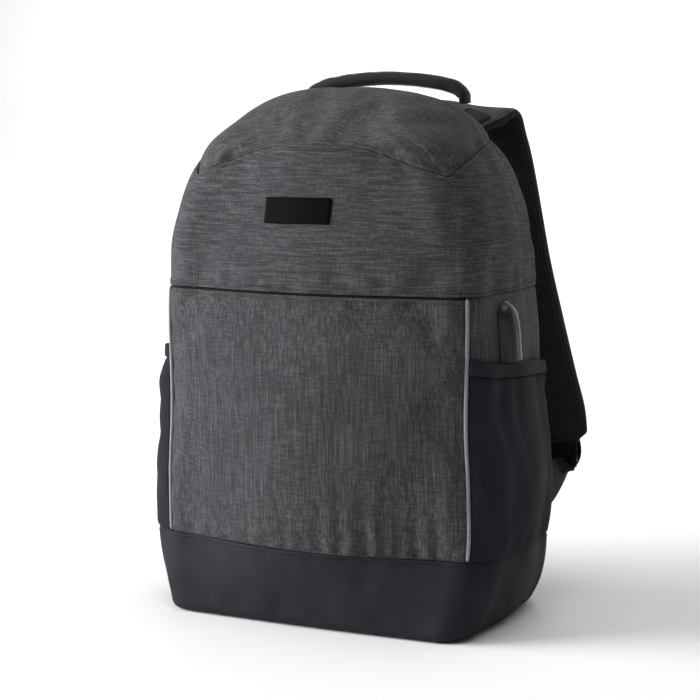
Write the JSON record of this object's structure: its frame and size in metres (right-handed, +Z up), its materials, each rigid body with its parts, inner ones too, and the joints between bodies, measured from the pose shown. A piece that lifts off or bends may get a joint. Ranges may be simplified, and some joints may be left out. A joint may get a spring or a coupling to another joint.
{
  "type": "laptop backpack",
  "caption": "Dark grey melange laptop backpack with a smooth dark base band, side pockets, piped front pocket, cable port, grab handle and padded shoulder straps.",
  "frame": {"origin": "middle of the base's underside", "axes": "+Z up, the front pocket faces -Y, the shoulder straps are at +Y and +X is the bag's right seen from the front"},
  "size_m": [0.3488, 0.2634, 0.469],
  "materials": {
    "melange": "matte",
    "polyester": "satin",
    "stretch_cloth": "matte",
    "air_mesh": "matte",
    "handle_cloth": "matte",
    "webbing": "matte",
    "zip_tape": "matte",
    "piping": "satin",
    "label": "satin",
    "port_rubber": "matte",
    "plastic": "satin"
  },
  "bodies": {
    "root": {"base_band": "polyester", "lower_panel": "melange", "upper_panel": "melange", "top_gusset": "melange", "back_panel": "air_mesh", "main_zip": "zip_tape", "front_pocket": "melange", "pocket_zip": "zip_tape", "label_patch": "label", "usb_cover": "port_rubber", "top_handle": "handle_cloth", "side_pocket_right": "stretch_cloth", "side_pocket_left": "stretch_cloth", "pocket_hem_right": "stretch_cloth", "pocket_hem_left": "stretch_cloth", "piping_right": "piping", "piping_left": "piping", "handle_anchor_right": "webbing", "handle_anchor_left": "webbing", "strap_pad_right": "air_mesh", "strap_pad_left": "air_mesh", "strap_cover_right": "melange", "strap_cover_left": "melange", "ladder_lock_right": "plastic", "ladder_lock_left": "plastic", "strap_webbing_right": "webbing", "strap_webbing_left": "webbing", "strap_tab_right": "webbing", "strap_tab_left": "webbing"}
  },
  "joints": []
}
